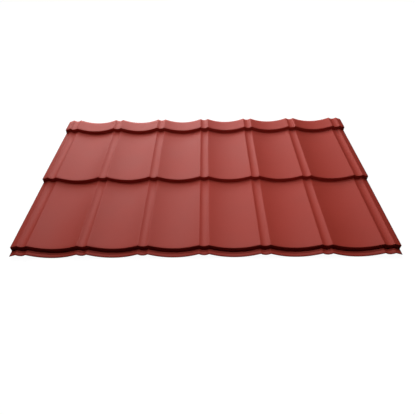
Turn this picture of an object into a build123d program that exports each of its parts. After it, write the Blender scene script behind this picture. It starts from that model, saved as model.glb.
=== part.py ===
"""Roof panel pressed from one coated steel sheet: rows of wide shallow waves, with a
low step where each row of tiles would lap over the next.

Frame, in millimetres: X across the roof, Y up the slope, Z away from the roof.
The origin is under the middle of the sheet, on the plane that its wave troughs
rest on.
"""

import os
from math import asin, degrees, sqrt

from build123d import *

# Sheet
sheet_thickness = 0.5
cover_width = 1150.0
wave_count = 6
side_lap = 22.0

# Rows, measured up the slope
row_length = 350.0
row_count = 2
step_height = 15.0
front_lip = 25.0
back_tail = 76.0

# Waves, on the coated side: ridges with two peaks and a groove between them
wave_depth = 14.5
ridge_width = 32.0
groove_depth = 4.8
peak_radius = 4.0

# Bends at the nose and foot of each step, on the coated side
nose_radius = 2.0
foot_radius = 1.5

# Arcs of the wave section, which run smoothly into each other
wave_pitch = cover_width / wave_count
half_ridge = ridge_width / 2
half_trough = wave_pitch / 2 - half_ridge
trough_radius = (half_trough**2 + wave_depth**2) / (2 * wave_depth) - peak_radius
groove_radius = (half_ridge**2 + groove_depth**2) / (2 * groove_depth) - peak_radius
trough_angle = degrees(asin(half_trough / (trough_radius + peak_radius)))
groove_angle = degrees(asin(half_ridge / (groove_radius + peak_radius)))
peak_angle = trough_angle + groove_angle

# A bend is drawn as the flat that touches the middle of its arc, so that the sheet
# keeps its thickness there. This is the flat's leg, as a share of the radius.
bend_leg = 2 - sqrt(2)

# The steel is what lies between two blocks, one under each face of the sheet. The
# lower block passes the sheet's edges and base, to cut right through.
block_depth = 2 * (wave_depth + step_height)
cut_margin = 5.0


def row_height(row, y):
    """Height of a row's peaks at y: they fall from its nose to the foot of the next step."""
    return step_height * (1 + row - y / row_length)


def slope_line(skin, margin):
    """Line of the peaks up the slope, at the depth skin below the coated face."""
    front = -front_lip - margin
    back = row_count * row_length + back_tail + margin
    foot = bend_leg * (foot_radius + skin)
    nose = bend_leg * (nose_radius - skin)
    line = [Vector(0, front, row_height(-1, front))]
    for row in range(row_count + 1):
        riser = row * row_length + skin
        line.append(Vector(0, riser - foot, row_height(row - 1, riser - foot)))
        line.append(Vector(0, riser, row_height(row - 1, riser) + foot))
        line.append(Vector(0, riser, row_height(row, riser) - nose))
        line.append(Vector(0, riser + nose, row_height(row, riser + nose)))
    line.append(Vector(0, back, row_height(row_count, back)))
    return line


def wave_block(start, end, skin, margin, depth):
    """Block under one straight run of the slope line, topped by the wave section."""
    trough = trough_radius + skin
    groove = groove_radius + skin
    peak = peak_radius - skin
    trough_z = trough_radius - wave_depth
    groove_z = groove_radius - groove_depth
    lap_x = (cover_width + wave_pitch) / 2
    lap_angle = degrees(asin((half_trough - side_lap - margin) / trough))
    with BuildPart() as block:
        with BuildSketch(Plane(start, x_dir=(1, 0, 0), z_dir=(0, -1, 0))):
            with BuildLine():
                for ridge in range(wave_count + 1):
                    x = ridge * wave_pitch - cover_width / 2
                    CenterArc((x - half_ridge, -peak_radius), peak, 90 + trough_angle, -peak_angle)
                    CenterArc((x, groove_z), groove, 270 - groove_angle, 2 * groove_angle)
                    CenterArc((x + half_ridge, -peak_radius), peak, 90 + groove_angle, -peak_angle)
                for wave in range(wave_count):
                    x = (wave + 0.5) * wave_pitch - cover_width / 2
                    CenterArc((x, trough_z), trough, 270 - trough_angle, 2 * trough_angle)
                left = CenterArc((-lap_x, trough_z), trough, 270 + lap_angle, trough_angle - lap_angle)
                right = CenterArc((lap_x, trough_z), trough, 270 - trough_angle, trough_angle - lap_angle)
                edge = right @ 1
                Polyline(edge, (edge.X, -depth), (-edge.X, -depth), left @ 0)
            make_face()
        extrude(amount=(end - start).length, dir=end - start)
    return block.part


def stepped_block(skin, margin, depth):
    """Block under the whole sheet. The risers are where one run ends below the next."""
    line = slope_line(skin, margin)
    runs = [(start, end) for start, end in zip(line, line[1:]) if end.Y > start.Y]
    return [wave_block(start, end, skin, margin, depth) for start, end in runs]


with BuildPart() as lower_block:
    add(stepped_block(sheet_thickness, cut_margin, 2 * block_depth))

with BuildPart() as roof_panel:
    add(stepped_block(0, 0, block_depth))
    add(lower_block.part, mode=Mode.SUBTRACT)

box = roof_panel.part.bounding_box()
roof_panel.part.position = (0, -box.center().Y, -box.min.Z)
roof_panel.part.label = "roof_panel"

os.makedirs("parts", exist_ok=True)
export_step(roof_panel.part, "parts/roof_panel.step")
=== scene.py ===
"""Looks of the roof panel: one coated steel sheet, lying flat on a pale studio floor.

Frame, in metres: X across the roof, Y up the slope, Z away from the roof.
"""

from math import asin, atan2, cos, pi, radians, sin, tan

import bpy
from mathutils import Matrix, Vector


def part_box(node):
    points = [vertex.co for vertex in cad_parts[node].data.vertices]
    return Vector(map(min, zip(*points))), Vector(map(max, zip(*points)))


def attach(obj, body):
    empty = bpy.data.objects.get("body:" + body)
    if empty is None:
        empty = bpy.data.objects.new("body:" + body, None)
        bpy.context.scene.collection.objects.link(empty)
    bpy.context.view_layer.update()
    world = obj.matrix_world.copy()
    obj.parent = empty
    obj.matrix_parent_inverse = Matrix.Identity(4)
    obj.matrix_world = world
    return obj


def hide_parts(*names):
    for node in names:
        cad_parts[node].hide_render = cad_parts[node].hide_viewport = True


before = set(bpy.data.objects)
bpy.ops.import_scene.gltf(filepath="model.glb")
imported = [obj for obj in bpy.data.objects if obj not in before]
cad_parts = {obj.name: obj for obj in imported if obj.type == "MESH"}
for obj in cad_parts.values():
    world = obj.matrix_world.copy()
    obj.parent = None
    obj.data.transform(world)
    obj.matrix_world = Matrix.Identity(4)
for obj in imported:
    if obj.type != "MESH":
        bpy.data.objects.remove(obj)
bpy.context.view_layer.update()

sheet_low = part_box("roof_panel")[0]

# Sheet and waves, as in the solid
sheet_thickness = 0.0005
cover_width = 1.150
wave_count = 6
side_lap = 0.022
wave_depth = 0.0145
ridge_width = 0.032
groove_depth = 0.0048
peak_radius = 0.004

# Rows and the bends of their steps
row_length = 0.350
row_count = 2
step_height = 0.015
front_lip = 0.025
back_tail = 0.076
nose_radius = 0.002
foot_radius = 0.0015

# How finely each stretch of the two sections is divided
lap_steps = 5
peak_steps = 7
groove_steps = 10
trough_steps = 22
bend_steps = 6
riser_steps = 2
run_step = 0.015

# Material slots of the sheet
coat_slot = 0
backing_slot = 1
cut_slot = 2

# Arcs of the wave section, which run smoothly into each other
wave_pitch = cover_width / wave_count
half_ridge = ridge_width / 2
half_trough = wave_pitch / 2 - half_ridge
trough_radius = (half_trough**2 + wave_depth**2) / (2 * wave_depth) - peak_radius
groove_radius = (half_ridge**2 + groove_depth**2) / (2 * groove_depth) - peak_radius
trough_turn = asin(half_trough / (trough_radius + peak_radius))
groove_turn = asin(half_ridge / (groove_radius + peak_radius))
peak_turn = trough_turn + groove_turn

# The foot of the first riser, midway across the sheet and at the height of the peaks
middle_y = (row_count * row_length + back_tail - front_lip) / 2
first_riser = Vector((0, -middle_y, sheet_low.z + wave_depth + sheet_thickness))


def arc(centre, radius, start, turn, steps):
    """Points on an arc in a section plane, up to but without its last one."""
    angles = [start + turn * step / steps for step in range(steps)]
    return [(centre[0] + radius * cos(angle), centre[1] + radius * sin(angle)) for angle in angles]


def wave_section(skin):
    """Points (x, z) across the sheet, at the depth skin below the coated face."""
    trough = trough_radius + skin
    groove = groove_radius + skin
    peak = peak_radius - skin
    trough_z = trough_radius - wave_depth
    groove_z = groove_radius - groove_depth
    lap_x = (cover_width + wave_pitch) / 2
    lap_turn = asin((half_trough - side_lap) / trough)
    down = 1.5 * pi
    up = 0.5 * pi
    points = arc((-lap_x, trough_z), trough, down + lap_turn, trough_turn - lap_turn, lap_steps)
    for ridge in range(wave_count + 1):
        x = ridge * wave_pitch - cover_width / 2
        points += arc((x - half_ridge, -peak_radius), peak, up + trough_turn, -peak_turn, peak_steps)
        points += arc((x, groove_z), groove, down - groove_turn, 2 * groove_turn, groove_steps)
        points += arc((x + half_ridge, -peak_radius), peak, up + groove_turn, -peak_turn, peak_steps)
        if ridge < wave_count:
            middle = (x + wave_pitch / 2, trough_z)
            points += arc(middle, trough, down - trough_turn, 2 * trough_turn, trough_steps)
    points += arc((lap_x, trough_z), trough, down - trough_turn, trough_turn - lap_turn, lap_steps)
    points.append((lap_x - trough * sin(lap_turn), trough_z - trough * cos(lap_turn)))
    return points


def row_height(row, y):
    """Height of a row's peaks at y: they fall from its nose to the foot of the next step."""
    return step_height * (1 + row - y / row_length)


def bend(corner, before, after, radius):
    """Points (y, z) of an arc that rounds a corner between two directions."""
    angle_before = atan2(before[1], before[0])
    turn = atan2(after[1], after[0]) - angle_before
    side = 1 if turn > 0 else -1
    leg = radius * tan(abs(turn) / 2)
    start = (corner[0] - leg * cos(angle_before), corner[1] - leg * sin(angle_before))
    across = side * radius
    centre = (start[0] - across * sin(angle_before), start[1] + across * cos(angle_before))
    points = arc(centre, radius, angle_before - side * pi / 2, turn, bend_steps)
    end = (corner[0] + leg * cos(angle_before + turn), corner[1] + leg * sin(angle_before + turn))
    return points + [end]


def straight(start, end, steps):
    """Points between two others on a straight run, without either end."""
    shares = [step / steps for step in range(1, steps)]
    return [(start[0] + (end[0] - start[0]) * s, start[1] + (end[1] - start[1]) * s) for s in shares]


def run_steps(length):
    """How many steps a straight run of this length up the slope is divided into."""
    return round(length / run_step) + 1


def slope_section(skin):
    """Points (y, z) up the slope, along the peaks, at the depth skin below the coated face."""
    fall = (row_length, -step_height)
    rise = (0, step_height)
    points = [(-front_lip, row_height(-1, -front_lip))]
    runs = [front_lip] + [row_length] * row_count
    for row, run in enumerate(runs):
        riser = row * row_length + skin
        foot = bend((riser, row_height(row - 1, riser)), fall, rise, foot_radius + skin)
        nose = bend((riser, row_height(row, riser)), rise, fall, nose_radius - skin)
        points += straight(points[-1], foot[0], run_steps(run))
        points += foot + straight(foot[-1], nose[0], riser_steps) + nose
    back = row_count * row_length + back_tail
    end = (back, row_height(row_count, back))
    points += straight(points[-1], end, run_steps(back_tail))
    points.append(end)
    return points


def sheet_mesh():
    """Closed mesh of the sheet: its coated face, its underside and its cut edges."""
    verts = []
    for skin in (0, sheet_thickness):
        wave = wave_section(skin)
        slope = slope_section(skin)
        for y, rise in slope:
            for x, z in wave:
                verts.append(first_riser + Vector((x, y, z + rise)))
    across = len(wave)
    along = len(slope)
    under = across * along
    faces = []
    slots = []
    for j in range(along - 1):
        for i in range(across - 1):
            a = j * across + i
            top = (a, a + 1, a + 1 + across, a + across)
            faces.append(top)
            slots.append(coat_slot)
            faces.append(tuple(v + under for v in reversed(top)))
            slots.append(backing_slot)
    front = list(range(across))
    right = [j * across + across - 1 for j in range(along)]
    back = [(along - 1) * across + i for i in reversed(range(across))]
    left = [j * across for j in reversed(range(along))]
    for edge in (front, right, back, left):
        for a, b in zip(edge, edge[1:]):
            faces.append((a, a + under, b + under, b))
            slots.append(cut_slot)
    mesh = bpy.data.meshes.new("coated_sheet")
    mesh.from_pydata(verts, [], faces)
    mesh.polygons.foreach_set("material_index", slots)
    mesh.polygons.foreach_set("use_smooth", [slot != cut_slot for slot in slots])
    mesh.update()
    return mesh


def new_material(name):
    """A material with a Principled shader, its node tree and that shader."""
    material = bpy.data.materials.new(name)
    material.use_nodes = True
    return material, material.node_tree, material.node_tree.nodes["Principled BSDF"]


def noise(tree, scale, detail):
    """Noise in the sheet's own metres, with scale in bumps per metre."""
    place = tree.nodes.new("ShaderNodeTexCoord")
    node = tree.nodes.new("ShaderNodeTexNoise")
    node.inputs["Scale"].default_value = scale
    node.inputs["Detail"].default_value = detail
    tree.links.new(place.outputs["Object"], node.inputs["Vector"])
    return node


def tint(tree, shader, pattern, dark, light):
    """Base colour that drifts between two tints over the middle of a noise pattern's range."""
    ramp = tree.nodes.new("ShaderNodeValToRGB")
    ramp.color_ramp.elements[0].position = 0.3
    ramp.color_ramp.elements[0].color = (*dark, 1)
    ramp.color_ramp.elements[1].position = 0.7
    ramp.color_ramp.elements[1].color = (*light, 1)
    tree.links.new(pattern.outputs["Fac"], ramp.inputs["Fac"])
    tree.links.new(ramp.outputs["Color"], shader.inputs["Base Color"])


def unevenness(tree, shader, scale, strength):
    """Fine unevenness of a surface, at a share of its full depth given by strength."""
    full_depth = 0.0002
    bumps = noise(tree, scale, detail=2)
    bump = tree.nodes.new("ShaderNodeBump")
    bump.inputs["Strength"].default_value = strength
    bump.inputs["Distance"].default_value = full_depth
    tree.links.new(bumps.outputs["Fac"], bump.inputs["Height"])
    tree.links.new(bump.outputs["Normal"], shader.inputs["Normal"])


def top_coat():
    """Matt brick-red paint with a fine orange peel. Its gloss drifts with its colour."""
    dark_red = (0.392, 0.0315, 0.0155)
    light_red = (0.412, 0.0345, 0.0185)
    glossier = 0.66
    duller = 0.74
    material, tree, shader = new_material("top_coat")
    cloud = noise(tree, scale=9, detail=3)
    tint(tree, shader, cloud, dark_red, light_red)
    gloss = tree.nodes.new("ShaderNodeMapRange")
    gloss.inputs["To Min"].default_value = glossier
    gloss.inputs["To Max"].default_value = duller
    tree.links.new(cloud.outputs["Fac"], gloss.inputs["Value"])
    tree.links.new(gloss.outputs["Result"], shader.inputs["Roughness"])
    shader.inputs["Specular IOR Level"].default_value = 0.4
    unevenness(tree, shader, scale=900, strength=0.04)
    return material


def backing_coat():
    """Thin pale grey primer of the underside, a little uneven."""
    dark_grey = (0.43, 0.425, 0.40)
    light_grey = (0.48, 0.475, 0.45)
    material, tree, shader = new_material("backing_coat")
    cloud = noise(tree, scale=14, detail=4)
    tint(tree, shader, cloud, dark_grey, light_grey)
    shader.inputs["Roughness"].default_value = 0.55
    unevenness(tree, shader, scale=700, strength=0.05)
    return material


def cut_steel():
    """Bare steel where the sheet is cut, with the zinc dragged over it by the shears."""
    bare_steel = (0.33, 0.32, 0.31)
    smeared_zinc = (0.50, 0.51, 0.52)
    material, tree, shader = new_material("cut_steel")
    patches = noise(tree, scale=260, detail=3)
    tint(tree, shader, patches, bare_steel, smeared_zinc)
    shader.inputs["Metallic"].default_value = 1
    shader.inputs["Roughness"].default_value = 0.5
    unevenness(tree, shader, scale=2500, strength=0.15)
    return material


sheet = bpy.data.objects.new("coated_sheet", sheet_mesh())
bpy.context.collection.objects.link(sheet)
# In the order of the sheet's material slots
for material in (top_coat(), backing_coat(), cut_steel()):
    sheet.data.materials.append(material)
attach(sheet, "root")
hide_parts("roof_panel")

# Camera, placed from the foot of the first riser, with its sensor in millimetres
photo_width = 415
focal_pixels = 346.42
middle_u = 200.59
middle_v = 266.95
sensor_size = 36
camera_place = Vector((0.00751, -0.73029, 0.81144))
yaw = radians(1.436)
pitch = radians(51.145)
roll = radians(-1.387)


def make_camera():
    """Camera at the photo's place, turned and shifted as the photo's was."""
    right = Vector((cos(yaw), sin(yaw), 0))
    view = Vector((-sin(yaw) * cos(pitch), cos(yaw) * cos(pitch), -sin(pitch)))
    up = right.cross(view)
    rolled_right = cos(roll) * right + sin(roll) * up
    rolled_up = -sin(roll) * right + cos(roll) * up
    data = bpy.data.cameras.new("camera")
    data.sensor_width = sensor_size
    data.sensor_height = sensor_size
    data.lens = sensor_size * focal_pixels / photo_width
    pixel_middle = (photo_width - 1) / 2
    data.shift_x = (pixel_middle - middle_u) / photo_width
    data.shift_y = (middle_v - pixel_middle) / photo_width
    camera = bpy.data.objects.new("camera", data)
    camera.matrix_world = (
        Matrix.Translation(first_riser + camera_place)
        @ Matrix((rolled_right, rolled_up, -view)).transposed().to_4x4()
    )
    bpy.context.collection.objects.link(camera)
    bpy.context.scene.camera = camera


# What the camera sees of the floor before any lamp adds to it, and of the world above it
backdrop_level = 0.955

# Colour of the floor as the lamps and the sheet see it, and strength of the world for them
floor_grey = (0.12, 0.12, 0.12, 1)
dim_level = 0.01

# Half the floor's width, which runs far past the sheet in every view
floor_half = 12


def make_floor():
    """Grey floor that the camera sees as white, but for the sheet's faint shadow."""
    near_left = (-floor_half, -floor_half, 0)
    near_right = (floor_half, -floor_half, 0)
    far_right = (floor_half, floor_half, 0)
    far_left = (-floor_half, floor_half, 0)
    mesh = bpy.data.meshes.new("floor")
    mesh.from_pydata([near_left, near_right, far_right, far_left], [], [(0, 1, 2, 3)])
    floor = bpy.data.objects.new("floor", mesh)
    bpy.context.collection.objects.link(floor)
    material = bpy.data.materials.new("floor")
    material.use_nodes = True
    tree = material.node_tree
    tree.nodes.clear()
    out = tree.nodes.new("ShaderNodeOutputMaterial")
    rays = tree.nodes.new("ShaderNodeLightPath")
    grey = tree.nodes.new("ShaderNodeBsdfDiffuse")
    grey.inputs["Color"].default_value = floor_grey
    white = tree.nodes.new("ShaderNodeEmission")
    level = tree.nodes.new("ShaderNodeMath")
    level.operation = "MULTIPLY"
    level.inputs[1].default_value = backdrop_level
    both = tree.nodes.new("ShaderNodeAddShader")
    tree.links.new(rays.outputs["Is Camera Ray"], level.inputs[0])
    tree.links.new(level.outputs["Value"], white.inputs["Strength"])
    tree.links.new(grey.outputs["BSDF"], both.inputs[0])
    tree.links.new(white.outputs["Emission"], both.inputs[1])
    tree.links.new(both.outputs["Shader"], out.inputs["Surface"])
    floor.data.materials.append(material)


def make_world():
    """World that the camera sees as white and that hardly lights the sheet."""
    world = bpy.data.worlds.new("world")
    bpy.context.scene.world = world
    world.use_nodes = True
    tree = world.node_tree
    tree.nodes.clear()
    out = tree.nodes.new("ShaderNodeOutputWorld")
    rays = tree.nodes.new("ShaderNodeLightPath")
    white = tree.nodes.new("ShaderNodeBackground")
    white.inputs["Color"].default_value = (1, 1, 1, 1)
    white.inputs["Strength"].default_value = backdrop_level
    dim = tree.nodes.new("ShaderNodeBackground")
    dim.inputs["Strength"].default_value = dim_level
    mix = tree.nodes.new("ShaderNodeMixShader")
    tree.links.new(rays.outputs["Is Camera Ray"], mix.inputs["Fac"])
    tree.links.new(dim.outputs["Background"], mix.inputs[1])
    tree.links.new(white.outputs["Background"], mix.inputs[2])
    tree.links.new(mix.outputs["Shader"], out.inputs["Surface"])


def make_lamp(name, place, width, depth, watts):
    """Soft lamp that faces the middle of the floor under the sheet."""
    data = bpy.data.lights.new(name, "AREA")
    data.shape = "RECTANGLE"
    data.size = width
    data.size_y = depth
    data.energy = watts
    facing = (-place).to_track_quat("-Z", "Y").to_matrix().to_4x4()
    lamp = bpy.data.objects.new(name, data)
    lamp.matrix_world = Matrix.Translation(place) @ facing
    bpy.context.collection.objects.link(lamp)


make_camera()
make_floor()
make_world()

# The large lamps are above and behind the sheet, so that its risers stay dark. The rear
# one gives the tail its sheen, and the small near one adds most to the front row.
make_lamp("overhead_softbox", Vector((-0.3, 0.6, 3.2)), width=1.2, depth=0.6, watts=23)
make_lamp("near_softbox", Vector((0.25, -0.2, 0.7)), width=0.25, depth=0.25, watts=0.9)
make_lamp("rear_softbox", Vector((-0.67, 2.0, 0.70)), width=1.7, depth=1.0, watts=36.5)
make_lamp("high_softbox", Vector((-0.3, 3.13, 4.0)), width=2.0, depth=0.30, watts=83)

bpy.context.scene.view_settings.view_transform = "Standard"
